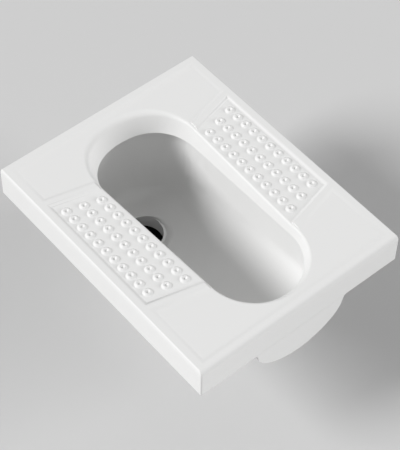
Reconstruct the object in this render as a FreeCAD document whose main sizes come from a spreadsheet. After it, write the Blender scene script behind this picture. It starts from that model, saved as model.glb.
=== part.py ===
"""Floor squat pan in glazed ceramic, with its rubber inlet and outlet seals.

The pan is drawn with the deck's centre at X = Y = 0 and the top of its border at Z = 0.
+Y is the rear, where the outlet and the flush inlet are. Every piece then gets the same
Placement, which puts the origin at the centre of the outlet's open end.
"""
import FreeCAD, Part
import math
import os

import Sketcher
from FreeCAD import Placement, Rotation, Vector

SIZES = {
    # Foot deck
    "deck_length": 600.0,
    "deck_width": 478.0,
    "edge_height": 69.0,
    "edge_wall": 13.0,
    "top_round": 12.0,
    "border_width": 20.0,
    "field_drop": 2.0,
    "plate_thickness": 11.0,
    # Opening of the bowl at the level of the field
    "rim_rear_radius": 115.0,
    "rear_margin": 43.0,
    "rim_front_radius": 103.5,
    "front_margin": 33.0,
    "rim_round": 4.0,
    # Steep band down to the lip, whose plane dips towards the rear. The insets are at the rear depth
    "lip_side_inset": 14.0,
    "lip_rear_inset": 22.0,
    "lip_front_inset": 30.0,
    "lip_rear_depth": 45.0,
    "lip_front_depth": 20.0,
    "band_thickness": 9.0,
    # Treads and the ridges at their ends
    "tread_drop": 2.0,
    "tread_overrun": 31.0,
    "ridge_width": 18.0,
    "ridge_rear_margin": 123.0,
    "ridge_front_margin": 170.0,
    "ridge_slope": 0.25,
    "ridge_gap": 0.5,
    # Dimpled studs
    "stud_rows": 11,
    "stud_columns": 3,
    "stud_column_pitch": 34.0,
    "stud_side_margin": 38.0,
    "stud_rear_gap": 38.0,
    "stud_front_gap": 28.0,
    "stud_row_slope": 0.29,
    "stud_lean": 0.012,
    "stud_sides": 8,
    "stud_radius": 9.5,
    "stud_crest_radius": 5.3,
    "stud_height": 3.9,
    "stud_dimple": 1.9,
    # Bowl
    "flush_slit": 7.0,
    "bowl_wall": 12.0,
    "floor_front_depth": 131.2,
    "trough_radius": 122.0,
    "floor_round": 20.0,
    "mouth_drop": 10.0,
    "mouth_radius": 57.0,
    "mouth_lead": 3.3,
    "skirt_half_width": 105.0,
    "skirt_corner": 60.0,
    "skirt_depth": 144.7,
    "skirt_length": 105.0,
    "skirt_flare": 9.0,
    "skirt_seat": 4.0,
    # Outlet
    "outlet_setback": 30.0,
    "outlet_radius": 45.0,
    "outlet_wall": 7.0,
    "seal_seat": 1.0,
    "collar_radius": 63.0,
    "spigot_length": 32.0,
    "collar_thickness": 9.0,
    "overall_height": 300.0,
    "outlet_seal_width": 8.5,
    "outlet_seal_thickness": 7.0,
    # Flush inlet
    "inlet_depth": 40.0,
    "horn_seat_depth": 120.0,
    "inlet_wall": 6.0,
    "inlet_flat": 2.4,
    "seal_outer_radius": 20.0,
    "inlet_radius": 16.0,
    "seal_bore_radius": 15.8,
    "seal_clearance": 0.15,
}
TOLERANCE = 1e-3
EDGE_STEPS = 4

# Places and depths that follow from the driving dimensions
RIM_REAR_Y = "(Dims.deck_length / 2 - Dims.rear_margin - Dims.rim_rear_radius)"
RIM_FRONT_Y = "(Dims.front_margin + Dims.rim_front_radius - Dims.deck_length / 2)"
RIDGE_Y = {
    "rear": "(Dims.deck_length / 2 - Dims.ridge_rear_margin)",
    "front": "(Dims.ridge_front_margin - Dims.deck_length / 2)",
}
FIELD_HALF_WIDTH = "(Dims.deck_width / 2 - Dims.border_width)"
PLATE_DEPTH = "(Dims.field_drop + Dims.plate_thickness)"
OUTLET_Y = f"({RIM_REAR_Y} + Dims.outlet_setback)"
BOSS_DEPTH = "(Dims.overall_height - Dims.spigot_length)"
MOUTH_DEPTH = f"({BOSS_DEPTH} - Dims.mouth_drop)"
FLOOR_RUN = f"({OUTLET_Y} - Dims.mouth_radius - Dims.mouth_lead + Dims.deck_length / 2)"
FLOOR_SLOPE = f"(({MOUTH_DEPTH} - Dims.floor_front_depth) / {FLOOR_RUN})"

doc = FreeCAD.newDocument("squat_pan")
sheet = doc.addObject("Spreadsheet::Sheet", "Dims")
for row, (alias, value) in enumerate(SIZES.items(), start=1):
    sheet.set(f"A{row}", alias)
    sheet.set(f"B{row}", str(value))
    sheet.setAlias(f"B{row}", alias)
doc.recompute()


def size(alias):
    """A driving dimension, read from the sheet."""
    return float(sheet.get(alias))


def place(piece):
    """Move a finished piece from the drawing frame to the part's own frame."""
    piece.setExpression("Placement.Base.y", f"-{OUTLET_Y}")
    piece.setExpression("Placement.Base.z", "Dims.overall_height")


def origin_plane(body, role):
    """One of a body's own origin planes."""
    return next(feature for feature in body.Origin.OriginFeatures if feature.Role == role)


def new_sketch(body, name, role="XY_Plane", height="0"):
    """A sketch on an origin plane of the body, shifted along the plane's normal."""
    sketch = body.newObject("Sketcher::SketchObject", name)
    sketch.AttachmentSupport = (origin_plane(body, role), [""])
    sketch.MapMode = "FlatFace"
    sketch.setExpression("AttachmentOffset.Base.z", height)
    return sketch


def add_named(sketch, name, expression, *constraint):
    """A dimension of a sketch, bound to the sheet."""
    index = sketch.addConstraint(Sketcher.Constraint(*constraint))
    sketch.renameConstraint(index, name)
    sketch.setExpression(f"Constraints.{name}", expression)


def draw_polygon(sketch, points):
    """A closed polygon whose corners are pairs of expressions."""
    values = [Vector(*(sheet_value(text) for text in point), 0) for point in points]
    count = len(values)
    for index in range(count):
        sketch.addGeometry(Part.LineSegment(values[index], values[(index + 1) % count]), False)
    for index in range(count):
        sketch.addConstraint(Sketcher.Constraint("Coincident", index, 2, (index + 1) % count, 1))
    for index, (x, y) in enumerate(points):
        add_named(sketch, f"x{index}", x, "DistanceX", -1, 1, index, 1, values[index].x)
        add_named(sketch, f"y{index}", y, "DistanceY", -1, 1, index, 1, values[index].y)


def sheet_value(expression):
    """The number that an expression on the sheet comes to."""
    return float(sheet.evalExpression(expression.replace("Dims.", "")))


def draw_rectangle(sketch, width, length):
    """A rectangle about the sketch's origin."""
    x = f"({width}) / 2"
    y = f"({length}) / 2"
    draw_polygon(sketch, [(f"-{x}", f"-{y}"), (x, f"-{y}"), (x, y), (f"-{x}", y)])


def tangent_angle(rear, front):
    """Angle at which a line touches the rear and front circles of an opening, on the +X side."""
    (rear_y, rear_radius), (front_y, front_radius) = rear, front
    return math.asin((front_radius - rear_radius) / (rear_y - front_y))


def draw_opening(sketch, rear, front):
    """Two arcs joined by their tangents. Each end is (centre y, radius), as expressions."""
    ends = [tuple(sheet_value(text) for text in end) for end in (rear, front)]
    angle = tangent_angle(*ends)
    spans = [(angle, math.pi - angle), (math.pi - angle, 2 * math.pi + angle)]
    arcs = []
    for (y, radius), span in zip(ends, spans):
        circle = Part.Circle(Vector(0, y, 0), Vector(0, 0, 1), radius)
        arcs.append(Part.ArcOfCircle(circle, *span))
        sketch.addGeometry(arcs[-1], False)
    for index in range(2):
        other = arcs[1 - index]
        sketch.addGeometry(Part.LineSegment(arcs[index].EndPoint, other.StartPoint), False)
    for arc in range(2):
        sketch.addConstraint(Sketcher.Constraint("Tangent", arc, 2, 2 + arc, 1))
        sketch.addConstraint(Sketcher.Constraint("Tangent", 2 + arc, 2, 1 - arc, 1))
        sketch.addConstraint(Sketcher.Constraint("PointOnObject", arc, 3, -2))
    for arc, (name, end, value) in enumerate(zip(("rear", "front"), (rear, front), ends)):
        add_named(sketch, f"{name}_y", end[0], "DistanceY", -1, 1, arc, 3, value[0])
        add_named(sketch, f"{name}_radius", end[1], "Radius", arc, value[1])


def tilt_to_lip(sketch):
    """Put a sketch on the plane of the lip, which dips from the front to the rear."""
    rear = f"({RIM_REAR_Y} + Dims.rim_rear_radius - Dims.lip_rear_inset)"
    front = f"({RIM_FRONT_Y} - Dims.rim_front_radius + Dims.lip_front_inset)"
    slope = f"((Dims.lip_rear_depth - Dims.lip_front_depth) / ({rear} - {front}))"
    sketch.setExpression("AttachmentOffset.Base.z", f"-Dims.lip_front_depth + {front} * {slope}")
    sketch.setExpression("AttachmentOffset.Rotation.Axis.x", "1")
    sketch.setExpression("AttachmentOffset.Rotation.Axis.z", "0")
    sketch.setExpression("AttachmentOffset.Rotation.Angle", f"-atan({slope})")


def edges_where(shape, test):
    """Names of the edges whose points all pass a test."""
    names = []
    for index, edge in enumerate(shape.Edges, start=1):
        first, last = edge.ParameterRange
        stride = (last - first) / EDGE_STEPS
        points = [edge.valueAt(first + stride * step) for step in range(EDGE_STEPS + 1)]
        if all(test(point) for point in points):
            names.append(f"Edge{index}")
    return names


def add_feature(body, kind, name, profile=None, **properties):
    """A PartDesign feature with its properties, where text is an expression."""
    feature = body.newObject(f"PartDesign::{kind}", name)
    if profile is not None:
        feature.Profile = profile
    for key, value in properties.items():
        if isinstance(value, str):
            feature.setExpression(key, value)
        else:
            setattr(feature, key, value)
    doc.recompute()
    return feature


def add_fillet(body, base, name, radius, test):
    """Round the edges of the base feature that pass a test."""
    feature = body.newObject("PartDesign::Fillet", name)
    feature.Base = (base, edges_where(base.Shape, test))
    feature.setExpression("Radius", radius)
    doc.recompute()
    return feature


def near(value, target):
    return abs(value - target) < TOLERANCE


# Ends of the opening, of the lip and of the back of the band, as (centre y, radius)
RIM = (
    (RIM_REAR_Y, "Dims.rim_rear_radius"),
    (RIM_FRONT_Y, "Dims.rim_front_radius"),
)
LIP = (
    (
        f"{RIM_REAR_Y} - Dims.lip_rear_inset + Dims.lip_side_inset",
        "Dims.rim_rear_radius - Dims.lip_side_inset",
    ),
    (
        f"{RIM_FRONT_Y} + Dims.lip_front_inset - Dims.lip_side_inset",
        "Dims.rim_front_radius - Dims.lip_side_inset",
    ),
)


def widened(ends, amount):
    """The same opening, moved outwards all round."""
    return tuple((y, f"{radius} + {amount}") for y, radius in ends)


def throat_sketches(body, ends_at_field, ends_at_lip, name):
    """The two sections of the steep band: at the field and at the lip's rear end."""
    upper = new_sketch(body, f"{name}_at_field", height="-Dims.field_drop")
    draw_opening(upper, *ends_at_field)
    lower = new_sketch(body, f"{name}_at_lip", height="-Dims.lip_rear_depth")
    draw_opening(lower, *ends_at_lip)
    doc.recompute()
    return upper, lower


# Foot deck
def ridge_y(end, x):
    """Y of the middle of a ridge at a distance x from the deck's centre line."""
    return f"{RIDGE_Y[end]} - Dims.ridge_slope * ({FIELD_HALF_WIDTH} - ({x}))"


def tread_outline(side):
    """Corners of a tread's recess, which is open to the bowl."""
    outer = FIELD_HALF_WIDTH
    inner = "(Dims.rim_front_radius - Dims.tread_overrun)"
    half = "Dims.ridge_width / 2"
    corners = [
        (outer, f"{ridge_y('rear', outer)} - {half}"),
        (inner, f"{ridge_y('rear', inner)} - {half}"),
        (inner, f"{ridge_y('front', inner)} + {half}"),
        (outer, f"{ridge_y('front', outer)} + {half}"),
    ]
    return [(f"{side} * {x}", y) for x, y in corners]


def ridge_outline(end, side):
    """Corners of a ridge between the border and the rounded edge of the opening."""
    outer = FIELD_HALF_WIDTH
    inner = f"(Dims.rim_{end}_radius + Dims.rim_round + Dims.ridge_gap)"
    half = "Dims.ridge_width / 2"
    corners = [
        (outer, f"{ridge_y(end, outer)} - {half}"),
        (outer, f"{ridge_y(end, outer)} + {half}"),
        (inner, f"{ridge_y(end, inner)} + {half}"),
        (inner, f"{ridge_y(end, inner)} - {half}"),
    ]
    return [(f"{side} * {x}", y) for x, y in corners]


def make_deck_body():
    body = doc.addObject("PartDesign::Body", "deck_body")
    outline = new_sketch(body, "deck_outline")
    draw_rectangle(outline, "Dims.deck_width", "Dims.deck_length")
    slab = add_feature(body, "Pad", "deck_slab", outline, Length="Dims.edge_height", Reversed=True)

    add_fillet(body, slab, "deck_top_edge", "Dims.top_round", lambda p: near(p.z, 0))

    field = new_sketch(body, "field_outline")
    draw_rectangle(
        field, "Dims.deck_width - 2 * Dims.border_width", "Dims.deck_length - 2 * Dims.border_width"
    )
    add_feature(body, "Pocket", "field", field, Length="Dims.field_drop")

    hollow = new_sketch(body, "hollow_outline", height="-Dims.edge_height")
    draw_rectangle(
        hollow, "Dims.deck_width - 2 * Dims.edge_wall", "Dims.deck_length - 2 * Dims.edge_wall"
    )
    add_feature(
        body, "Pocket", "hollow_underside", hollow,
        Length=f"Dims.edge_height - {PLATE_DEPTH}", Reversed=True,
    )

    upper, lower = throat_sketches(body, RIM, LIP, "opening")
    opening = add_feature(body, "SubtractiveLoft", "opening", upper, Sections=[lower], Ruled=True)
    border = size("border_width") + TOLERANCE
    inner_x, inner_y = size("deck_width") / 2 - border, size("deck_length") / 2 - border
    add_fillet(
        body, opening, "opening_edge", "Dims.rim_round",
        lambda p: near(p.z, -size("field_drop")) and abs(p.x) < inner_x and abs(p.y) < inner_y,
    )

    for side, name in ((-1, "left"), (1, "right")):
        tread = new_sketch(body, f"{name}_tread_outline", height="-Dims.field_drop")
        draw_polygon(tread, tread_outline(side))
        add_feature(body, "Pocket", f"{name}_tread", tread, Length="Dims.tread_drop")
        for end in ("rear", "front"):
            ridge = new_sketch(body, f"{name}_{end}_ridge_outline", height="-Dims.field_drop")
            draw_polygon(ridge, ridge_outline(end, side))
            add_feature(body, "Pad", f"{name}_{end}_ridge", ridge, Length="Dims.field_drop")
    return body


def stud_ring(radius, z):
    """Corners of a stud at one height, few of them because there are many studs."""
    sides = int(size("stud_sides"))
    turns = [2 * math.pi * side / sides for side in range(sides)]
    return [Vector(radius * math.cos(turn), radius * math.sin(turn), z) for turn in turns]


def flat_face(corners):
    return Part.Face(Part.makePolygon(corners + corners[:1]))


def make_stud():
    """A low cone with a dimple inside its crest."""
    height = size("stud_height")
    rings = [
        stud_ring(size("stud_radius"), -size("tread_drop")),
        stud_ring(size("stud_radius"), 0),
        stud_ring(size("stud_crest_radius"), height),
    ]
    dimple = Vector(0, 0, height - size("stud_dimple"))
    faces = [flat_face(rings[0])]
    for side in range(len(rings[0])):
        for lower, upper in zip(rings, rings[1:]):
            faces.append(flat_face([lower[side - 1], lower[side], upper[side], upper[side - 1]]))
        faces.append(flat_face([rings[-1][side - 1], rings[-1][side], dimple]))
    shell = Part.Shell(faces)
    shell.sewShape()
    return Part.Solid(shell)


def stud_places():
    """Feet of the studs: slanted rows, with columns that lean with the sides of the opening."""
    floor = -size("field_drop") - size("tread_drop")
    rows = int(size("stud_rows"))
    outer = size("deck_width") / 2 - size("stud_side_margin")
    rear = sheet_value(RIDGE_Y["rear"]) - size("stud_rear_gap")
    front = sheet_value(RIDGE_Y["front"]) + size("stud_front_gap")
    row_pitch = (rear - front) / (rows - 1)
    for side in (-1, 1):
        for column in range(int(size("stud_columns"))):
            inwards = column * size("stud_column_pitch")
            lean = size("stud_lean") * (1 + column) / 2
            for row in range(rows):
                back = row * row_pitch
                x = outer - inwards - back * lean
                y = rear - inwards * size("stud_row_slope") - back
                yield Vector(side * x, y, floor)


def make_studs():
    stud = make_stud()
    studs = []
    for foot in stud_places():
        copy = stud.copy()
        copy.translate(foot)
        studs.append(copy)
    return studs


def make_deck():
    hole = add_inlet_cylinder(
        "inlet_hole", "Dims.seal_outer_radius", "Dims.deck_length / 2 - 2 * Dims.edge_wall",
        "Dims.deck_length / 2 + Dims.edge_wall",
    )
    cuts = add_union("deck_cuts", [hole, add_skirt_seat("deck_notch")])
    trimmed = add_boolean("Cut", "trimmed_deck", make_deck_body(), cuts)
    deck = doc.addObject("Part::Feature", "deck")
    deck.Shape = trimmed.Shape.fuse(make_studs())
    return deck


# Flush rim
def make_flush_rim():
    body = doc.addObject("PartDesign::Body", "flush_rim")
    back = [widened(ends, "Dims.band_thickness") for ends in (RIM, LIP)]
    upper, lower = throat_sketches(body, *back, "band_back")
    add_feature(body, "AdditiveLoft", "band_blank", upper, Sections=[lower], Ruled=True)
    upper, lower = throat_sketches(body, RIM, LIP, "band_face")
    add_feature(body, "SubtractiveLoft", "band", upper, Sections=[lower], Ruled=True)
    lip = new_sketch(body, "lip_plane")
    tilt_to_lip(lip)
    draw_rectangle(lip, "Dims.deck_width", "Dims.deck_length")
    add_feature(body, "Pocket", "lip", lip, Length="Dims.lip_rear_depth")
    seat = new_sketch(body, "deck_seat_outline", height=f"-{PLATE_DEPTH}")
    draw_rectangle(seat, "Dims.deck_width", "Dims.deck_length")
    add_feature(body, "Pocket", "deck_seat", seat, Length=PLATE_DEPTH, Reversed=True)
    return body


# Bowl
def make_well(name, amount, bottom, floor_round=None):
    """The plan of the opening, moved outwards and taken straight down from under the deck."""
    body = doc.addObject("PartDesign::Body", name)
    outline = new_sketch(body, f"{name}_outline", height=f"-{PLATE_DEPTH}")
    draw_opening(outline, *widened(RIM, amount))
    depth = f"{bottom} - {PLATE_DEPTH}"
    pad = add_feature(body, "Pad", f"{name}_pad", outline, Length=depth, Reversed=True)
    if floor_round is not None:
        level = -sheet_value(bottom)
        add_fillet(body, pad, f"{name}_round", floor_round, lambda p: near(p.z, level))
    return body


def make_trough(name, wall):
    """A channel with a round floor that slopes down to the rear, and upright sides."""
    slope = math.atan(sheet_value(FLOOR_SLOPE))
    upwards = Vector(0, math.sin(slope), math.cos(slope))
    backwards = Vector(0, math.cos(slope), -math.sin(slope))
    front = Vector(0, -size("deck_length") / 2, -size("floor_front_depth"))
    turn = Rotation(Vector(1, 0, 0), -90 - math.degrees(slope))
    axis_start = front + (upwards - backwards) * size("trough_radius")

    floor = doc.addObject("Part::Cylinder", f"{name}_floor")
    floor.setExpression("Radius", f"Dims.trough_radius + {wall}")
    floor.setExpression("Height", "2 * Dims.deck_length")
    floor.Placement = Placement(axis_start, turn)
    sides = doc.addObject("Part::Box", f"{name}_sides")
    sides.setExpression("Length", f"2 * (Dims.trough_radius + {wall})")
    sides.setExpression("Width", "Dims.overall_height")
    sides.setExpression("Height", "2 * Dims.deck_length")
    corner = axis_start + upwards * size("overall_height")
    sides.Placement = Placement(corner, turn)
    sides.setExpression("Placement.Base.x", f"-Dims.trough_radius - {wall}")
    return add_union(name, [floor, sides])


def add_common(name, pieces):
    common = doc.addObject("Part::MultiCommon", name)
    common.Shapes = pieces
    return common


def make_skirt():
    """The bowl's front end: a half oval of three arcs, flush with the deck's front face."""
    half_width, corner = size("skirt_half_width"), size("skirt_corner")
    top, front = -size("edge_height"), -size("deck_length") / 2
    drop = size("skirt_depth") - size("edge_height")
    reach = half_width - corner
    radius = (reach ** 2 + drop ** 2 - corner ** 2) / (2 * (drop - corner))
    lean = math.atan2(reach, radius - drop)
    half_turn = (math.pi / 2 - lean) / 2

    def point(x, z):
        return Vector(x, front, top + z)

    join = (radius * math.sin(lean), radius - drop - radius * math.cos(lean))
    bulge = (reach + corner * math.cos(half_turn), -corner * math.sin(half_turn))
    edges = [
        Part.Arc(point(half_width, 0), point(*bulge), point(*join)).toShape(),
        Part.Arc(point(*join), point(0, -drop), point(-join[0], join[1])).toShape(),
        Part.Arc(point(-join[0], join[1]), point(-bulge[0], bulge[1]), point(-half_width, 0)).toShape(),
        Part.LineSegment(point(-half_width, 0), point(half_width, 0)).toShape(),
    ]
    skirt = doc.addObject("Part::Feature", "skirt")
    skirt.Shape = Part.Face(Part.Wire(edges)).extrude(Vector(0, size("skirt_length"), 0))
    return skirt


def make_flares():
    """Hollow-curved corners between the skirt and the deck's lower edge."""
    flare, half_width, depth = size("skirt_flare"), size("skirt_half_width"), size("edge_height")
    front = -size("deck_length") / 2
    slant = flare * math.sqrt(0.5)
    flares = []
    for side in (-1, 1):
        tip = Vector(side * (half_width + flare), front, -depth)
        foot = Vector(side * half_width, front, -depth - flare)
        middle = Vector(side * (half_width + flare - slant), front, -depth - flare + slant)
        root = Vector(side * (half_width - flare), front, -depth)
        edges = [
            Part.Arc(tip, middle, foot).toShape(),
            Part.LineSegment(foot, root).toShape(),
            Part.LineSegment(root, tip).toShape(),
        ]
        flares.append(Part.Face(Part.Wire(edges)).extrude(Vector(0, size("edge_wall"), 0)))
    feature = doc.addObject("Part::Feature", "skirt_flares")
    feature.Shape = Part.makeCompound(flares)
    return feature


def add_cylinder(name, radius, bottom, top):
    """An upright cylinder on the outlet's axis, from one depth up to another."""
    cylinder = doc.addObject("Part::Cylinder", name)
    cylinder.setExpression("Radius", radius)
    cylinder.setExpression("Height", f"{bottom} - ({top})")
    cylinder.setExpression("Placement.Base.y", OUTLET_Y)
    cylinder.setExpression("Placement.Base.z", f"-({bottom})")
    return cylinder


def add_box(name, width, low, high):
    """A box of a width, centred on the deck. Its lower front and upper rear edges are (y, depth)."""
    box = doc.addObject("Part::Box", name)
    box.setExpression("Length", width)
    box.setExpression("Width", f"({high[0]}) - ({low[0]})")
    box.setExpression("Height", f"({low[1]}) - ({high[1]})")
    box.setExpression("Placement.Base.x", f"-({width}) / 2")
    box.setExpression("Placement.Base.y", low[0])
    box.setExpression("Placement.Base.z", f"-({low[1]})")
    return box


def add_skirt_seat(name):
    """The room in the deck's front edge that the top of the skirt and of its flares goes into."""
    width = "2 * (Dims.skirt_half_width + Dims.skirt_flare)"
    front = "-Dims.deck_length / 2"
    low = (front, "Dims.edge_height")
    high = (f"{front} + Dims.edge_wall", "Dims.edge_height - Dims.skirt_seat")
    return add_box(name, width, low, high)


def add_boolean(kind, name, base, tool):
    """A Part boolean of two features."""
    feature = doc.addObject(f"Part::{kind}", name)
    feature.Base = base
    feature.Tool = tool
    doc.recompute()
    return feature


def add_union(name, pieces):
    union = doc.addObject("Part::MultiFuse", name)
    union.Shapes = pieces
    return union


def add_inlet_cylinder(name, radius, start, end):
    """A cylinder on the flush inlet's axis between two Y values."""
    cylinder = doc.addObject("Part::Cylinder", name)
    cylinder.setExpression("Radius", radius)
    cylinder.setExpression("Height", f"{end} - ({start})")
    cylinder.Placement.Rotation = Rotation(Vector(1, 0, 0), -90)
    cylinder.setExpression("Placement.Base.y", start)
    cylinder.setExpression("Placement.Base.z", "-Dims.inlet_depth")
    return cylinder


def make_bowl():
    rear = "Dims.deck_length / 2"
    hull = add_common("hull", [
        make_trough("hull_trough", "Dims.bowl_wall"),
        make_well("hull_well", "Dims.flush_slit + Dims.bowl_wall", BOSS_DEPTH),
    ])
    cavity = add_common("cavity", [
        make_trough("cavity_trough", "0"),
        make_well("cavity_well", "Dims.flush_slit", MOUTH_DEPTH, "Dims.floor_round"),
    ])
    mouth = doc.addObject("Part::Cone", "mouth")
    mouth.setExpression("Radius1", "Dims.outlet_radius")
    mouth.setExpression("Radius2", "Dims.mouth_radius")
    mouth.setExpression("Height", "Dims.mouth_drop")
    mouth.setExpression("Placement.Base.y", OUTLET_Y)
    mouth.setExpression("Placement.Base.z", f"-{BOSS_DEPTH}")
    blank = add_union("bowl_blank", [hull, make_skirt(), make_flares(), add_skirt_seat("skirt_top")])
    room = add_union("bowl_room", [
        cavity,
        mouth,
        add_inlet_cylinder("inlet_bore", "Dims.inlet_radius", RIM_REAR_Y, rear),
        add_box("horn_seat", "Dims.deck_width", (HORN_START, "Dims.horn_seat_depth"), (rear, "0")),
    ])
    return add_boolean("Cut", "bowl", blank, room)


# Outlet and flush inlet
HULL_REAR_Y = f"({RIM_REAR_Y} + Dims.rim_rear_radius + Dims.flush_slit + Dims.bowl_wall)"
HORN_START = f"({HULL_REAR_Y} - Dims.inlet_flat)"
REAR_WALL = "Dims.deck_length / 2 - Dims.edge_wall"
COLLAR_END = f"({BOSS_DEPTH} + Dims.collar_thickness)"
SEAT_END = f"({COLLAR_END} + Dims.outlet_seal_thickness)"
SEAT_RADIUS = "(Dims.outlet_radius + Dims.outlet_wall + Dims.seal_seat)"


def make_outlet_spigot():
    """The collar under the bowl, the seat of the seal and the end that goes into the drain."""
    top, end = BOSS_DEPTH, "Dims.overall_height"
    outside = add_union("spigot_outside", [
        add_cylinder("spigot_collar", "Dims.collar_radius", COLLAR_END, top),
        add_cylinder("spigot_seat", SEAT_RADIUS, SEAT_END, top),
        add_cylinder("spigot_tube", "Dims.outlet_radius + Dims.outlet_wall", end, top),
    ])
    bore = add_cylinder("spigot_bore", "Dims.outlet_radius", end, top)
    return add_boolean("Cut", "outlet_spigot", outside, bore)


def make_outlet_seal():
    outer = f"{SEAT_RADIUS} + Dims.outlet_seal_width"
    inner = f"{SEAT_RADIUS} + Dims.seal_clearance"
    outside = add_cylinder("outlet_seal_outside", outer, SEAT_END, COLLAR_END)
    bore = add_cylinder("outlet_seal_bore", inner, SEAT_END, COLLAR_END)
    return add_boolean("Cut", "outlet_seal", outside, bore)


def make_inlet_horn():
    outside = add_inlet_cylinder(
        "horn_outside", "Dims.seal_outer_radius + Dims.inlet_wall", HORN_START, REAR_WALL
    )
    socket = add_inlet_cylinder("horn_socket", "Dims.seal_outer_radius", HORN_START, REAR_WALL)
    return add_boolean("Cut", "inlet_horn", outside, socket)


def make_inlet_seal():
    end = "Dims.deck_length / 2"
    outside = add_inlet_cylinder(
        "inlet_seal_outside", "Dims.seal_outer_radius - Dims.seal_clearance", HORN_START, end
    )
    bore = add_inlet_cylinder("inlet_seal_bore", "Dims.seal_bore_radius", HORN_START, end)
    return add_boolean("Cut", "inlet_seal", outside, bore)


# Build, check and write every piece
def check(feature):
    """Stop if a feature failed or has no sound shape."""
    if {"Invalid", "Error"} & set(feature.State):
        raise RuntimeError(f"{feature.Name} failed: {feature.State}")
    shape = getattr(feature, "Shape", None)
    if shape is not None and feature.isDerivedFrom("Part::Feature"):
        if shape.isNull() or not shape.isValid():
            raise RuntimeError(f"{feature.Name} has no sound shape")


pieces = [
    make_deck(),
    make_flush_rim(),
    make_bowl(),
    make_outlet_spigot(),
    make_outlet_seal(),
    make_inlet_horn(),
    make_inlet_seal(),
]
for piece in pieces:
    piece.Label = piece.Name
    place(piece)
doc.recompute()
for feature in doc.Objects:
    check(feature)
os.makedirs("parts", exist_ok=True)
for piece in pieces:
    piece.Shape.exportStep(f"parts/{piece.Name}.step")
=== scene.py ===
"""Studio scene of the floor squat pan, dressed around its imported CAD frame.

Lengths are in metres. Places on the pan are given as x and y from the middle of the deck
and as depth below the top of the deck's border. +y is the rear, where the outlet is.
"""

import math

import bmesh
import bpy
import numpy as np
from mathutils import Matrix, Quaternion, Vector


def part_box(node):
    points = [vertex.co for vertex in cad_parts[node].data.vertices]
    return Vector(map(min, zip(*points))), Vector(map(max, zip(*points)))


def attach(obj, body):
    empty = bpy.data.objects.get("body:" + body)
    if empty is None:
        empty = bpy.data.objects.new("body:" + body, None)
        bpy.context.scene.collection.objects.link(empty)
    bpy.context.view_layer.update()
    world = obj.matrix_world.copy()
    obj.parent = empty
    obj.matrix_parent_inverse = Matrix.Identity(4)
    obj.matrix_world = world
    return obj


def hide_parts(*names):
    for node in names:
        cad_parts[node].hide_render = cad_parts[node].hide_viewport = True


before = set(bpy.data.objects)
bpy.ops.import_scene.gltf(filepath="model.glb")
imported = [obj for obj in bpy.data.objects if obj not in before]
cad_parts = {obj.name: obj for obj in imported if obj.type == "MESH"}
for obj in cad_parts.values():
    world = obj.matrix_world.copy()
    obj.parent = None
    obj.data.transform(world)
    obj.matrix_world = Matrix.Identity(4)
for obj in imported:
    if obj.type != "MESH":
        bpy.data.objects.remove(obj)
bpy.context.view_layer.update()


def measured(length):
    """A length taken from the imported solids, to the hundredth of a millimetre."""
    return round(length, 5)


# Foot deck
DECK_LOW, DECK_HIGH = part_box("deck")
HALF_WIDTH = measured((DECK_HIGH.x - DECK_LOW.x) / 2)
HALF_LENGTH = measured((DECK_HIGH.y - DECK_LOW.y) / 2)
EDGE_HEIGHT = measured(DECK_HIGH.z - DECK_LOW.z)
MIDDLE_Y = measured((DECK_HIGH.y + DECK_LOW.y) / 2)
TOP = measured(DECK_HIGH.z)
EDGE_WALL = 0.013
CORNER_ROUND = 0.003
LEAST_CORNER_ROUND = 0.0003
TOP_ROUND = 0.012
TOP_ROUND_WIDTH = 0.004
LOWER_ROUND = 0.0005
BORDER_WIDTH = 0.020
FIELD_DROP = 0.002
TREAD_DROP = 0.002
PLATE_DEPTH = 0.013
STEP_WIDTH = 0.009
RIDGE_WIDTH = 0.018
RIDGE_SLOPE = 0.25
RIDGE_REAR_MARGIN = 0.123
RIDGE_FRONT_MARGIN = 0.170
RIDGE_REAR_Y = HALF_LENGTH - RIDGE_REAR_MARGIN
RIDGE_FRONT_Y = RIDGE_FRONT_MARGIN - HALF_LENGTH
POCKET_INNER_X = 0.0725

# Opening of the bowl, as (centre y, radius) of its rear and front arcs
RIM_REAR_RADIUS = 0.115
RIM_FRONT_RADIUS = 0.1035
REAR_MARGIN = 0.043
FRONT_MARGIN = 0.033
RIM = (
    (HALF_LENGTH - REAR_MARGIN - RIM_REAR_RADIUS, RIM_REAR_RADIUS),
    (FRONT_MARGIN + RIM_FRONT_RADIUS - HALF_LENGTH, RIM_FRONT_RADIUS),
)
RIM_ROUND = 0.004
REAR_RIM_ROUND = 0.010
REAR_BULGE = 0.035

# Lip of the steep band, whose plane dips towards the rear
LIP_SIDE_INSET = 0.014
LIP_REAR_INSET = 0.022
LIP_FRONT_INSET = 0.030
LIP_REAR_DEPTH = 0.045
LIP_FRONT_DEPTH = 0.020
LIP = (
    (RIM[0][0] - LIP_REAR_INSET + LIP_SIDE_INSET, RIM_REAR_RADIUS - LIP_SIDE_INSET),
    (RIM[1][0] + LIP_FRONT_INSET - LIP_SIDE_INSET, RIM_FRONT_RADIUS - LIP_SIDE_INSET),
)
BAND_THICKNESS = 0.009
LIP_ROUND = 0.0025

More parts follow.
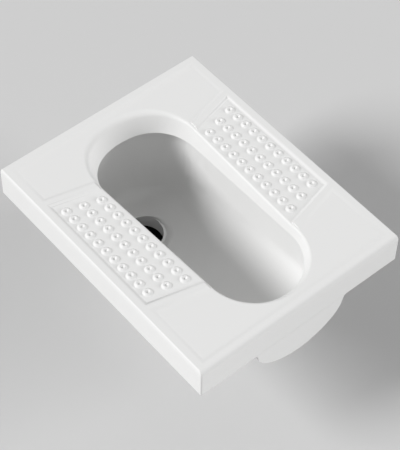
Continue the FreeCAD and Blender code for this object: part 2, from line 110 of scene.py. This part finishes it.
# Bowl and outlet
FLUSH_SLIT = 0.007
BOWL_WALL = 0.012
TROUGH_RADIUS = 0.122
FLOOR_FRONT_DEPTH = 0.1312
BOSS_DEPTH = measured(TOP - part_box("outlet_spigot")[1].z)
MOUTH_HEIGHT = 0.010
MOUTH_DEPTH = BOSS_DEPTH - MOUTH_HEIGHT
OUTLET_RADIUS = 0.045
OUTLET_Y = -MIDDLE_Y
MOUTH_RADIUS = 0.056
HULL_MOUTH_RADIUS = 0.050
MOUTH_LEAN = 0.019
MOUTH_Y = OUTLET_Y - MOUTH_LEAN
LEVEL_REACH = 0.0603
FLOOR_RUN = OUTLET_Y - LEVEL_REACH + HALF_LENGTH
FLOOR_SLOPE = (MOUTH_DEPTH - FLOOR_FRONT_DEPTH) / FLOOR_RUN
FLOOR_SQUARENESS = 2.4
HULL_SQUARENESS = 2
FLOOR_FILLET = 0.030
FLOOR_BLEND = 0.030
HULL_FILLET = 0.012
SIDE_FILLET_SHARE = 0.1
SKIRT_HALF_WIDTH = 0.105
SKIRT_CORNER = 0.060
SKIRT_DEPTH = 0.1447
SKIRT_LENGTH = 0.105
SKIRT_FLARE = 0.009
INLET_DEPTH = 0.040
INLET_RADIUS = 0.016
INLET_HOLE_RADIUS = 0.020
HORN_SEAT_DEPTH = 0.120
HORN_SEAT_INSET = 0.0024

# Degrees round the outlet at which its rear, left, front and right stretches begin, and the last ends
MOUTH_TURNS = (-15, 195, 225, 315, 345)

# Dimpled studs
STUD_ROWS = 11
STUD_COLUMNS = 3
STUD_COLUMN_PITCH = 0.034
STUD_SIDE_MARGIN = 0.038
STUD_REAR_GAP = 0.038
STUD_FRONT_GAP = 0.028
STUD_ROW_SLOPE = 0.29
STUD_LEAN = 0.012
STUD_RADIUS = 0.0095
STUD_CREST_RADIUS = 0.0054
STUD_HEIGHT = 0.0039
STUD_DIMPLE = 0.0037
STUD_FOOT = 0.0014
STUD_SINK = 0.0003
STUD_EDGE = 0.00002
STUD_SIDES = 28
STUD_FLANK_STEPS = 14
STUD_DIMPLE_STEPS = 8

# Steps that the curves are divided into, and angles in degrees from which edges look sharp
ARC_STEPS = 48
SIDE_STEPS = 40
ROUND_STEPS = 8
FLOOR_STEPS = 16
HALVINGS = 40
HOLE_SIDES = 64
SHARP_ANGLE = 40
STUD_SHARP_ANGLE = 60

# How far cutters stand above the deck and reach past other faces, and how close points are merged
CUT_RISE = 0.012
CUT_REACH = 0.004
SAME_PLACE = 0.0000001
MERGE_DISTANCE = 0.00001


def at(x, y, depth):
    """A place on the pan, in the part's frame."""
    return Vector((x, MIDDLE_Y + y, TOP - depth))


def smoothstep(value):
    """A soft step from 0 to 1, level at both ends."""
    value = min(max(value, 0.0), 1.0)
    return value * value * (3 - 2 * value)


def quarter():
    """Angles from 0 to a right angle."""
    return [math.pi / 2 * step / ROUND_STEPS for step in range(ROUND_STEPS + 1)]


# Meshes
def new_piece(name, points, faces):
    """A mesh object whose faces all look outwards."""
    mesh = bpy.data.meshes.new(name)
    mesh.from_pydata([tuple(point) for point in points], [], faces)
    shape = bmesh.new()
    shape.from_mesh(mesh)
    bmesh.ops.remove_doubles(shape, verts=shape.verts, dist=SAME_PLACE)
    bmesh.ops.recalc_face_normals(shape, faces=shape.faces)
    shape.to_mesh(mesh)
    shape.free()
    piece = bpy.data.objects.new(name, mesh)
    bpy.context.scene.collection.objects.link(piece)
    return piece


def ring_faces(rows, count, closed):
    """Quads between rows of points. Open rows get a face at each end."""
    faces = []
    for row in range(rows if closed else rows - 1):
        for index in range(count):
            here, there = row * count, (row + 1) % rows * count
            after = (index + 1) % count
            faces.append((here + index, here + after, there + after, there + index))
    if not closed:
        faces.append(tuple(range(count)))
        faces.append(tuple(range((rows - 1) * count, rows * count)))
    return faces


def loft(name, rows, closed=False):
    """A solid through rows of points that all have the same count."""
    points = [point for row in rows for point in row]
    return new_piece(name, points, ring_faces(len(rows), len(rows[0]), closed))


def combine(piece, tool, operation):
    """Cut a tool out of a piece, or join it on. The tool is used up."""
    modifier = piece.modifiers.new("combine", "BOOLEAN")
    modifier.operation = operation
    modifier.solver = "EXACT"
    modifier.object = tool
    graph = bpy.context.evaluated_depsgraph_get()
    mesh = bpy.data.meshes.new_from_object(piece.evaluated_get(graph))
    piece.modifiers.clear()
    piece.data = mesh
    bpy.data.objects.remove(tool)


def clean(piece):
    """Merge the points that cuts left side by side, and drop faces without area."""
    shape = bmesh.new()
    shape.from_mesh(piece.data)
    bmesh.ops.remove_doubles(shape, verts=shape.verts, dist=MERGE_DISTANCE)
    bmesh.ops.dissolve_degenerate(shape, dist=MERGE_DISTANCE, edges=shape.edges)
    shape.to_mesh(piece.data)
    shape.free()


def smooth(piece, sharp_angle=SHARP_ANGLE):
    """Smooth shading that keeps sharp edges and flat faces."""
    piece.data.shade_smooth()
    piece.data.set_sharp_from_angle(angle=math.radians(sharp_angle))
    weighted = piece.modifiers.new("weighted_normals", "WEIGHTED_NORMAL")
    weighted.keep_sharp = True


def cylinder(name, start, end, radius):
    """A round bar between two points."""
    axis = (end - start).normalized()
    turn = axis.to_track_quat("Z", "Y")
    angles = [2 * math.pi * side / HOLE_SIDES for side in range(HOLE_SIDES)]
    rows = []
    for centre in (start, end):
        rows.append([
            centre + turn @ Vector((radius * math.cos(angle), radius * math.sin(angle), 0))
            for angle in angles
        ])
    return loft(name, rows)


# Outlines
def opening(ends, spread=0.0):
    """Points (x, y) round an opening, moved outwards by spread.

    The opening has two arcs and their tangents. The rear arc bulges towards its corners.
    """
    (rear_y, rear_radius), (front_y, front_radius) = ends
    lean = math.asin((front_radius - rear_radius) / (rear_y - front_y))

    def arc(centre_y, radius, first, last, bulge):
        angles = np.linspace(first, last, ARC_STEPS + 1)
        radii = radius * (1 + bulge * np.sin(2 * angles) ** 2)
        return np.column_stack([radii * np.cos(angles), centre_y + radii * np.sin(angles)])

    rear = arc(rear_y, rear_radius, lean, math.pi - lean, REAR_BULGE)
    front = arc(front_y, front_radius, math.pi - lean, 2 * math.pi + lean, 0)
    shares = np.linspace(0, 1, SIDE_STEPS + 1)[1:-1, None]
    left = rear[-1] + (front[0] - rear[-1]) * shares
    right = front[-1] + (rear[0] - front[-1]) * shares
    return np.vstack([rear, left, front, right]) + outwards(lean) * np.reshape(spread, (-1, 1))


def outwards(lean):
    """Directions that point out of an opening, one for each of its points."""
    turns = [
        np.linspace(lean, math.pi - lean, ARC_STEPS + 1),
        np.full(SIDE_STEPS - 1, math.pi - lean),
        np.linspace(math.pi - lean, 2 * math.pi + lean, ARC_STEPS + 1),
        np.full(SIDE_STEPS - 1, lean),
    ]
    angles = np.concatenate(turns)
    return np.column_stack([np.cos(angles), np.sin(angles)])


def throat(depths, spread=0.0):
    """Points of the steep band's face at given depths, moved outwards by spread."""
    rim, lip = opening(RIM, spread), opening(LIP, spread)
    shares = (np.asarray(depths) - FIELD_DROP) / (LIP_REAR_DEPTH - FIELD_DROP)
    plan = rim + (lip - rim) * np.reshape(shares, (-1, 1))
    return [at(x, y, depth) for (x, y), depth in zip(plan, np.broadcast_to(depths, len(plan)))]


def lip_depths(spread=0.0):
    """Depth of the lip's plane at each point of the band's face."""
    rim, lip = opening(RIM, spread)[:, 1], opening(LIP, spread)[:, 1]
    front_y = RIM[1][0] - RIM_FRONT_RADIUS + LIP_FRONT_INSET
    rear_y = RIM[0][0] + RIM_REAR_RADIUS - LIP_REAR_INSET
    dip = (LIP_REAR_DEPTH - LIP_FRONT_DEPTH) / (rear_y - front_y)
    run = (lip - rim) / (LIP_REAR_DEPTH - FIELD_DROP)
    level = LIP_FRONT_DEPTH + dip * (rim - run * FIELD_DROP - front_y)
    return level / (1 - dip * run)


def moved_polygon(corners, spread):
    """Corners of a polygon whose sides all move outwards. The corners run anticlockwise."""
    points = [Vector(corner) for corner in corners]
    moved = []
    for index, point in enumerate(points):
        before = (point - points[index - 1]).normalized()
        after = (points[(index + 1) % len(points)] - point).normalized()
        out_before = Vector((before.y, -before.x))
        out_after = Vector((after.y, -after.x))
        moved.append(point + (out_before + out_after) * spread / (1 + out_before.dot(out_after)))
    return moved


# Foot deck
def rounded_rectangle(half_width, half_length, radius, depth, front_shift):
    """A level ring round the deck, whose front side moves inwards by a shift."""
    points = []
    for quadrant, (x, y) in enumerate(((1, 1), (-1, 1), (-1, -1), (1, -1))):
        for angle in quarter():
            turn = angle + quadrant * math.pi / 2
            points.append(at(
                x * (half_width - radius) + radius * math.cos(turn),
                y * (half_length - radius) + radius * math.sin(turn) + (front_shift if y < 0 else 0),
                depth,
            ))
    return points


def make_slab():
    """The deck's block with its rounded top edge and its hollow underside."""
    def ring(inset, depth, front_shift=0.0):
        radius = max(CORNER_ROUND - inset, LEAST_CORNER_ROUND)
        return rounded_rectangle(HALF_WIDTH - inset, HALF_LENGTH - inset, radius, depth, front_shift)

    rows = [ring(EDGE_WALL, PLATE_DEPTH), ring(EDGE_WALL, EDGE_HEIGHT), ring(LOWER_ROUND, EDGE_HEIGHT)]
    for angle in quarter()[1:]:
        rows.append(ring(
            LOWER_ROUND * (1 - math.sin(angle)), EDGE_HEIGHT - LOWER_ROUND * (1 - math.cos(angle))
        ))
    for angle in quarter():
        reach = 1 - math.cos(angle)
        front_shift = (TOP_ROUND - TOP_ROUND_WIDTH) * reach
        rows.append(ring(TOP_ROUND_WIDTH * reach, TOP_ROUND * (1 - math.sin(angle)), front_shift))
    return loft("deck_shell", rows)


def make_pocket(corners, drop):
    """A cutter for a shallow recess with soft sides."""
    rows = [[at(x, y, -CUT_RISE) for x, y in moved_polygon(corners, STEP_WIDTH / 2)]]
    for step in range(ROUND_STEPS + 1):
        share = step / ROUND_STEPS
        spread = STEP_WIDTH * (0.5 - share)
        rows.append([at(x, y, drop * smoothstep(share)) for x, y in moved_polygon(corners, spread)])
    return loft("pocket", rows)


def ridge_y(end_y, x, side):
    """Y of a ridge's rear (+1) or front (-1) edge at a distance x from the middle."""
    outer = HALF_WIDTH - BORDER_WIDTH
    return end_y - RIDGE_SLOPE * (outer - x) + side * RIDGE_WIDTH / 2


def pocket_outlines():
    """Outlines and drops of the two plain fields and of the two treads, anticlockwise."""
    outer, inner = HALF_WIDTH - BORDER_WIDTH, POCKET_INNER_X
    end = HALF_LENGTH - BORDER_WIDTH
    rear = [(x, ridge_y(RIDGE_REAR_Y, abs(x), 1)) for x in (-outer, -inner, inner, outer)]
    front = [(x, ridge_y(RIDGE_FRONT_Y, abs(x), -1)) for x in (outer, inner, -inner, -outer)]
    tread = [
        (inner, ridge_y(RIDGE_FRONT_Y, inner, 1)),
        (outer, ridge_y(RIDGE_FRONT_Y, outer, 1)),
        (outer, ridge_y(RIDGE_REAR_Y, outer, -1)),
        (inner, ridge_y(RIDGE_REAR_Y, inner, -1)),
    ]
    mirrored = [(-x, y) for x, y in reversed(tread)]
    tread_floor = FIELD_DROP + TREAD_DROP
    return [
        (rear + [(outer, end), (-outer, end)], FIELD_DROP),
        (front + [(-outer, -end), (outer, -end)], FIELD_DROP),
        (tread, tread_floor),
        (mirrored, tread_floor),
    ]


def make_throat_cutter():
    """A cutter for the opening, with the round of its edge. Beside a tread the edge lies lower."""
    plan = opening(RIM)
    levels = []
    for x, y in plan:
        past_front = (y - ridge_y(RIDGE_FRONT_Y, abs(x), -1)) / RIDGE_WIDTH
        past_rear = (ridge_y(RIDGE_REAR_Y, abs(x), 1) - y) / RIDGE_WIDTH
        levels.append(FIELD_DROP + TREAD_DROP * smoothstep(min(past_front, past_rear)))
    levels = np.array(levels)
    rear_share = np.maximum((opening(RIM, 1.0) - plan)[:, 1], 0)
    rounds = RIM_ROUND + (REAR_RIM_ROUND - RIM_ROUND) * rear_share
    rows = [throat(-CUT_RISE, rounds)]
    for angle in quarter():
        rows.append(throat(levels + rounds * (1 - math.cos(angle)), rounds * (1 - math.sin(angle))))
    rows.append(throat(PLATE_DEPTH))
    rows.append(throat(PLATE_DEPTH + CUT_REACH))
    return loft("throat_cutter", rows)


def make_deck():
    """The slab with its recesses, the opening and the hole for the flush pipe."""
    deck = make_slab()
    for corners, drop in pocket_outlines():
        combine(deck, make_pocket(corners, drop), "DIFFERENCE")
    combine(deck, make_throat_cutter(), "DIFFERENCE")
    hole = cylinder(
        "inlet_hole", at(0, HALF_LENGTH - 2 * EDGE_WALL, INLET_DEPTH),
        at(0, HALF_LENGTH + EDGE_WALL, INLET_DEPTH), INLET_HOLE_RADIUS,
    )
    combine(deck, hole, "DIFFERENCE")
    clean(deck)
    smooth(deck)
    return deck


def stud_profile():
    """Radius and height of a stud from its soft foot over the crest into the dimple."""
    foot = STUD_RADIUS + STUD_FOOT
    profile = [(foot, -STUD_SINK), (foot, STUD_EDGE)]
    for step in range(1, STUD_FLANK_STEPS + 1):
        share = step / STUD_FLANK_STEPS
        radius = foot + (STUD_CREST_RADIUS - foot) * share
        profile.append((radius, STUD_HEIGHT * math.sin(math.pi * smoothstep(share / 2))))
    for step in range(1, STUD_DIMPLE_STEPS + 1):
        share = step / STUD_DIMPLE_STEPS
        profile.append((STUD_CREST_RADIUS * (1 - share), STUD_HEIGHT - STUD_DIMPLE * smoothstep(share)))
    return profile


def stud_places():
    """Feet of the studs: slanted rows, with columns that lean with the sides of the opening."""
    outer = HALF_WIDTH - STUD_SIDE_MARGIN
    rear = RIDGE_REAR_Y - STUD_REAR_GAP
    front = RIDGE_FRONT_Y + STUD_FRONT_GAP
    pitch = (rear - front) / (STUD_ROWS - 1)
    for side in (-1, 1):
        for column in range(STUD_COLUMNS):
            inwards = column * STUD_COLUMN_PITCH
            lean = STUD_LEAN * (1 + column) / 2
            for row in range(STUD_ROWS):
                back = row * pitch
                x = side * (outer - inwards - back * lean)
                yield at(x, rear - inwards * STUD_ROW_SLOPE - back, FIELD_DROP + TREAD_DROP)


def make_studs():
    """All studs in one mesh: rings along the profile, a face below and a fan in the dimple."""
    points, faces = [], []
    profile = stud_profile()
    angles = [2 * math.pi * side / STUD_SIDES for side in range(STUD_SIDES)]
    for foot in stud_places():
        first = len(points)
        for radius, height in profile[:-1]:
            for angle in angles:
                points.append(foot + Vector((radius * math.cos(angle), radius * math.sin(angle), height)))
        rows = len(profile) - 1
        for face in ring_faces(rows, STUD_SIDES, False)[:-1]:
            faces.append(tuple(first + index for index in face))
        points.append(foot + Vector((0, 0, profile[-1][1])))
        last_row = first + (rows - 1) * STUD_SIDES
        for side in range(STUD_SIDES):
            faces.append((last_row + side, last_row + (side + 1) % STUD_SIDES, len(points) - 1))
    studs = new_piece("tread_studs", points, faces)
    smooth(studs, STUD_SHARP_ANGLE)
    return studs


# Flush rim
def make_band():
    """The steep band below the deck, with a rounded lip."""
    rows = []
    for share in np.linspace(0, 1, ROUND_STEPS + 1):
        rows.append(throat(PLATE_DEPTH + (lip_depths() - LIP_ROUND - PLATE_DEPTH) * share))
    for angle in quarter()[1:]:
        spread = LIP_ROUND * (1 - math.cos(angle))
        rows.append(throat(lip_depths(spread) - LIP_ROUND * (1 - math.sin(angle)), spread))
    for angle in reversed(quarter()):
        spread = BAND_THICKNESS - LIP_ROUND * (1 - math.cos(angle))
        rows.append(throat(lip_depths(spread) - LIP_ROUND * (1 - math.sin(angle)), spread))
    rows.append(throat(PLATE_DEPTH, BAND_THICKNESS))
    band = loft("rim_band", rows, closed=True)
    smooth(band)
    return band


# Bowl
def round_max(first, second, radius):
    """The larger of two distances, with the corner between them rounded."""
    corner = np.hypot(np.maximum(radius + first, 0), np.maximum(radius + second, 0))
    return np.minimum(-radius, np.maximum(first, second)) + corner


def floor_distance(x, y, depth, wall):
    """How far a point lies outside the sloping trough and below its level end.

    A wall of zero gives the room inside, and the bowl's own wall gives its outer hull.
    """
    lean = math.atan(FLOOR_SLOPE)
    axis_depth = FLOOR_FRONT_DEPTH + FLOOR_SLOPE * (y + HALF_LENGTH) - TROUGH_RADIUS / math.cos(lean)
    below = np.maximum((depth - axis_depth) * math.cos(lean), 0)
    power = HULL_SQUARENESS if wall else FLOOR_SQUARENESS
    pipe = (np.abs(x) ** power + below ** power) ** (1 / power) - TROUGH_RADIUS - wall
    level = depth - (BOSS_DEPTH if wall else MOUTH_DEPTH)
    return round_max(pipe, level, FLOOR_BLEND)


def floor_depths(plan, inset, wall, fillets):
    """Depth of the rounded floor at plan points that lie an inset inside the upright wall."""
    low = np.full(len(plan), PLATE_DEPTH)
    high = np.full(len(plan), BOSS_DEPTH + FLOOR_FILLET)
    for _ in range(HALVINGS):
        middle = (low + high) / 2
        distance = floor_distance(plan[:, 0], plan[:, 1], middle, wall)
        if inset > 0:
            outside = round_max(distance, -inset, fillets) > 0
        else:
            outside = distance > -fillets
        high = np.where(outside, middle, high)
        low = np.where(outside, low, middle)
    return low


def fillets_of(fillet):
    """Fillets round the bowl: whole at its ends, where wall and floor meet squarely, small at its sides."""
    directions = opening(RIM, 1.0) - opening(RIM)
    return fillet * np.maximum(directions[:, 1] ** 2, SIDE_FILLET_SHARE)


def mouth_plan(radius, centre_y):
    """Points round the outlet that pair with the points round the opening."""
    rear, left, front, right, end = MOUTH_TURNS
    turns = [
        np.linspace(rear, left, ARC_STEPS + 1),
        np.linspace(left, front, SIDE_STEPS + 1)[1:-1],
        np.linspace(front, right, ARC_STEPS + 1),
        np.linspace(right, end, SIDE_STEPS + 1)[1:-1],
    ]
    angles = np.radians(np.concatenate(turns))
    return np.column_stack([radius * np.cos(angles), centre_y + radius * np.sin(angles)])


def bowl_rows(wall, fillet, top):
    """Rows of points from the deck down the upright wall and along the floor to the outlet.

    A wall of zero gives the room inside, and the bowl's own wall gives its outer hull.
    """
    def row(plan, depths):
        return [at(x, y, depth) for (x, y), depth in zip(plan, depths)]

    spread = FLUSH_SLIT + wall
    fillets = fillets_of(fillet)
    rim = opening(RIM, spread)
    foot = floor_depths(rim, 0, wall, fillets)
    rows = [row(rim, top + (foot - top) * share) for share in np.linspace(0, 1, ROUND_STEPS + 1)]
    for angle in quarter()[1:]:
        inset = fillet * (1 - math.cos(angle))
        plan = opening(RIM, spread - inset)
        rows.append(row(plan, floor_depths(plan, inset, wall, fillets)))
    mouth = mouth_plan(HULL_MOUTH_RADIUS if wall else MOUTH_RADIUS, MOUTH_Y)
    inner = plan
    for share in np.linspace(0, 1, FLOOR_STEPS + 1)[1:]:
        plan = inner + (mouth - inner) * share
        rows.append(row(plan, floor_depths(plan, fillet, wall, fillets)))
    return rows


def make_skirt():
    """The bowl's front end: a half oval of three arcs, flush with the deck's front face."""
    drop = SKIRT_DEPTH - EDGE_HEIGHT
    reach = SKIRT_HALF_WIDTH - SKIRT_CORNER
    radius = (reach ** 2 + drop ** 2 - SKIRT_CORNER ** 2) / (2 * (drop - SKIRT_CORNER))
    lean = math.atan2(reach, radius - drop)
    half = []
    for step in range(ROUND_STEPS + 1):
        angle = (math.pi / 2 - lean) * step / ROUND_STEPS
        half.append((reach + SKIRT_CORNER * math.cos(angle), SKIRT_CORNER * math.sin(angle)))
    for step in range(1, ROUND_STEPS + 1):
        angle = lean * (1 - step / ROUND_STEPS)
        half.append((radius * math.sin(angle), drop - radius + radius * math.cos(angle)))
    outline = half + [(-x, z) for x, z in reversed(half[:-1])]
    rows = []
    for y in (-HALF_LENGTH, SKIRT_LENGTH - HALF_LENGTH):
        rows.append([at(x, y, EDGE_HEIGHT + z) for x, z in outline])
    return loft("skirt", rows)


def make_flare(side):
    """A hollow-curved corner between the skirt and the deck's lower edge."""
    outline = [(SKIRT_HALF_WIDTH - SKIRT_FLARE, 0.0)]
    for angle in quarter():
        outline.append((
            SKIRT_HALF_WIDTH + SKIRT_FLARE * (1 - math.cos(angle)), SKIRT_FLARE * (1 - math.sin(angle))
        ))
    rows = []
    for y in (-HALF_LENGTH, EDGE_WALL - HALF_LENGTH):
        rows.append([at(side * x, y, EDGE_HEIGHT + z) for x, z in outline])
    return loft("flare", rows)


def make_room():
    """The inside of the bowl, down to the outlet's bore."""
    rows = bowl_rows(0.0, FLOOR_FILLET, PLATE_DEPTH - CUT_REACH)
    edge = np.array([TOP - point.z for point in rows[-1]])
    for angle in quarter()[1:]:
        radius = MOUTH_RADIUS - (MOUTH_RADIUS - OUTLET_RADIUS) * math.sin(angle)
        centre_y = MOUTH_Y + (OUTLET_Y - MOUTH_Y) * (1 - math.cos(angle))
        depths = edge + (BOSS_DEPTH - edge) * (1 - math.cos(angle))
        rows.append([at(x, y, depth) for (x, y), depth in zip(mouth_plan(radius, centre_y), depths)])
    rows.append([at(x, y, BOSS_DEPTH + CUT_REACH) for x, y in mouth_plan(OUTLET_RADIUS, OUTLET_Y)])
    return loft("bowl_room", rows)


def make_horn_seat():
    """A cutter for the flat on the bowl's rear end that the inlet horn is stuck to."""
    seat_y = HALF_LENGTH - REAR_MARGIN + FLUSH_SLIT + BOWL_WALL - HORN_SEAT_INSET
    sides = ((-1, 0), (1, 0), (1, HORN_SEAT_DEPTH), (-1, HORN_SEAT_DEPTH))
    rows = []
    for y in (seat_y, HALF_LENGTH):
        rows.append([at(side * HALF_WIDTH, y, depth) for side, depth in sides])
    return loft("horn_seat", rows)


def make_bowl():
    """The hull with its front end, hollowed out, with the seat and bore of the inlet."""
    bowl = loft("bowl_shell", bowl_rows(BOWL_WALL, HULL_FILLET, PLATE_DEPTH))
    for tool in (make_skirt(), make_flare(-1), make_flare(1)):
        combine(bowl, tool, "UNION")
    combine(bowl, make_room(), "DIFFERENCE")
    combine(bowl, make_horn_seat(), "DIFFERENCE")
    bore = cylinder(
        "inlet_bore", at(0, RIM[0][0], INLET_DEPTH), at(0, HALF_LENGTH, INLET_DEPTH), INLET_RADIUS
    )
    combine(bowl, bore, "DIFFERENCE")
    clean(bowl)
    smooth(bowl)
    return bowl


# Finishes, with the scale and detail of their noises
CHINA_COLOUR = (0.80, 0.80, 0.795)
CHINA_ROUGHNESS = (0.50, 0.60)
CHINA_CLOUDS = (9, 3)
CHINA_SPECULAR = 0.45
CHINA_COAT = 0.10
CHINA_COAT_ROUGHNESS = 0.3
GLAZE_WAVES = (160, 2)
GLAZE_BUMP = 0.00002
RUBBER_COLOUR = (0.03, 0.03, 0.03)
RUBBER_ROUGHNESS = (0.62, 0.78)
RUBBER_CLOUDS = (60, 2)
RUBBER_GRAIN = (900, 3)
RUBBER_BUMP = 0.0001


def new_material(name, colour, roughness):
    material = bpy.data.materials.new(name)
    material.use_nodes = True
    shader = material.node_tree.nodes["Principled BSDF"]
    shader.inputs["Base Color"].default_value = (*colour, 1)
    shader.inputs["Roughness"].default_value = roughness
    return material


def add_noise(material, scale, detail):
    """A noise texture in object coordinates."""
    nodes, links = material.node_tree.nodes, material.node_tree.links
    place = nodes.new("ShaderNodeTexCoord")
    noise = nodes.new("ShaderNodeTexNoise")
    noise.inputs["Scale"].default_value = scale
    noise.inputs["Detail"].default_value = detail
    links.new(place.outputs["Object"], noise.inputs["Vector"])
    return noise.outputs["Fac"]


def vary_roughness(material, clouds, limits):
    """Roughness that wanders between two limits."""
    nodes, links = material.node_tree.nodes, material.node_tree.links
    spread = nodes.new("ShaderNodeMapRange")
    spread.inputs["To Min"].default_value = limits[0]
    spread.inputs["To Max"].default_value = limits[1]
    links.new(add_noise(material, *clouds), spread.inputs["Value"])
    links.new(spread.outputs["Result"], nodes["Principled BSDF"].inputs["Roughness"])


def add_bump(material, waves, distance):
    """Fine relief from a noise."""
    nodes, links = material.node_tree.nodes, material.node_tree.links
    bump = nodes.new("ShaderNodeBump")
    bump.inputs["Distance"].default_value = distance
    links.new(add_noise(material, *waves), bump.inputs["Height"])
    links.new(bump.outputs["Normal"], nodes["Principled BSDF"].inputs["Normal"])


def make_china():
    """White glaze with the faint unevenness of a fired coat."""
    material = new_material("glazed_china", CHINA_COLOUR, CHINA_ROUGHNESS[0])
    shader = material.node_tree.nodes["Principled BSDF"]
    shader.inputs["Specular IOR Level"].default_value = CHINA_SPECULAR
    shader.inputs["Coat Weight"].default_value = CHINA_COAT
    shader.inputs["Coat Roughness"].default_value = CHINA_COAT_ROUGHNESS
    vary_roughness(material, CHINA_CLOUDS, CHINA_ROUGHNESS)
    add_bump(material, GLAZE_WAVES, GLAZE_BUMP)
    return material


def make_rubber():
    """Black rubber with a fine moulded grain."""
    material = new_material("seal_rubber", RUBBER_COLOUR, RUBBER_ROUGHNESS[0])
    vary_roughness(material, RUBBER_CLOUDS, RUBBER_ROUGHNESS)
    add_bump(material, RUBBER_GRAIN, RUBBER_BUMP)
    return material


# Stage
FLOOR_RADIUS = 8.0
DRAIN_RADIUS = 0.049
DRAIN_DEPTH = 0.4
FLOOR_COLOUR = (0.62, 0.62, 0.62)
FLOOR_ROUGHNESS = 0.9
# Near black: painted shade for the deep drain, so the outlet looks dark from above
DRAIN_PAINTED_SHADE_COLOUR = (0.004, 0.004, 0.004)
DRAIN_ROUGHNESS = 1.0
STAGE_SIDES = 96


def circle(radius, z):
    """A level ring of points round the outlet."""
    turns = [2 * math.pi * side / STAGE_SIDES for side in range(STAGE_SIDES)]
    return [Vector((radius * math.cos(turn), radius * math.sin(turn), z)) for turn in turns]


def make_floor():
    """A pale floor with a drain under the outlet, whose lining is painted near black as shade so the outlet
    reads dark.
    """
    *sides, _, bottom = ring_faces(2, STAGE_SIDES, False)
    edge = circle(DRAIN_RADIUS, 0)
    floor = new_piece("floor", circle(FLOOR_RADIUS, 0) + edge, sides)
    floor.data.materials.append(new_material("pale_floor", FLOOR_COLOUR, FLOOR_ROUGHNESS))
    drain = new_piece("drain", edge + circle(DRAIN_RADIUS, -DRAIN_DEPTH), sides + [bottom])
    # The drain's lining is painted near black: painted shade under the outlet
    drain.data.materials.append(new_material("drain_painted_shade", DRAIN_PAINTED_SHADE_COLOUR, DRAIN_ROUGHNESS))


# Lights and camera
TO_KEY_LIGHT = Vector((-1.0, 0.5, 0.78))
KEY_STRENGTH = 2.6
KEY_SPREAD = math.radians(22)
TO_FILL_LIGHT = Vector((0.8, -0.8, 0.35))
FILL_STRENGTH = 1.85
FILL_SPREAD = math.radians(30)
SKY_STRENGTH = 0.34
CAMERA_PLACE = Vector((-1.2401, -1.6237, 2.6808))
CAMERA_AIM = Vector((-0.0301, -0.2178, 0.3))
CAMERA_ROLL = math.radians(1.094)
CAMERA_LENS = 129.98


def add_lamp(name, towards, strength, spread):
    """A distant lamp, soft by its spread."""
    lamp = bpy.data.lights.new(name, "SUN")
    lamp.energy = strength
    lamp.angle = spread
    holder = bpy.data.objects.new(name, lamp)
    holder.rotation_mode = "QUATERNION"
    holder.rotation_quaternion = towards.to_track_quat("Z", "Y")
    bpy.context.scene.collection.objects.link(holder)
    return holder


def light_scene():
    """A soft key from the rear left, and a low fill from the front right that leaves no reflection."""
    add_lamp("key", TO_KEY_LIGHT, KEY_STRENGTH, KEY_SPREAD)
    fill = add_lamp("fill", TO_FILL_LIGHT, FILL_STRENGTH, FILL_SPREAD)
    fill.visible_glossy = False
    world = bpy.data.worlds.new("studio")
    world.use_nodes = True
    world.node_tree.nodes["Background"].inputs["Color"].default_value = (1, 1, 1, 1)
    world.node_tree.nodes["Background"].inputs["Strength"].default_value = SKY_STRENGTH
    bpy.context.scene.world = world
    bpy.context.scene.view_settings.view_transform = "Standard"


def make_camera():
    lens = bpy.data.cameras.new("camera")
    lens.lens = CAMERA_LENS
    camera = bpy.data.objects.new("camera", lens)
    camera.location = CAMERA_PLACE
    camera.rotation_mode = "QUATERNION"
    towards = (CAMERA_AIM - CAMERA_PLACE).to_track_quat("-Z", "Y")
    camera.rotation_quaternion = towards @ Quaternion((0, 0, 1), CAMERA_ROLL)
    bpy.context.scene.collection.objects.link(camera)
    bpy.context.scene.camera = camera


china = make_china()
rubber = make_rubber()
deck = make_deck()
studs = make_studs()
band = make_band()
bowl = make_bowl()
for piece in (deck, studs, band, bowl):
    piece.data.materials.clear()
    piece.data.materials.append(china)
    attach(piece, "root")
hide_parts("deck")
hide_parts("deck")
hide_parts("flush_rim")
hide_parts("bowl")
for node in ("outlet_spigot", "inlet_horn"):
    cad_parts[node].data.materials.clear()
    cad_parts[node].data.materials.append(china)
for node in ("outlet_seal", "inlet_seal"):
    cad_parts[node].data.materials.clear()
    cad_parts[node].data.materials.append(rubber)

make_floor()
light_scene()
make_camera()
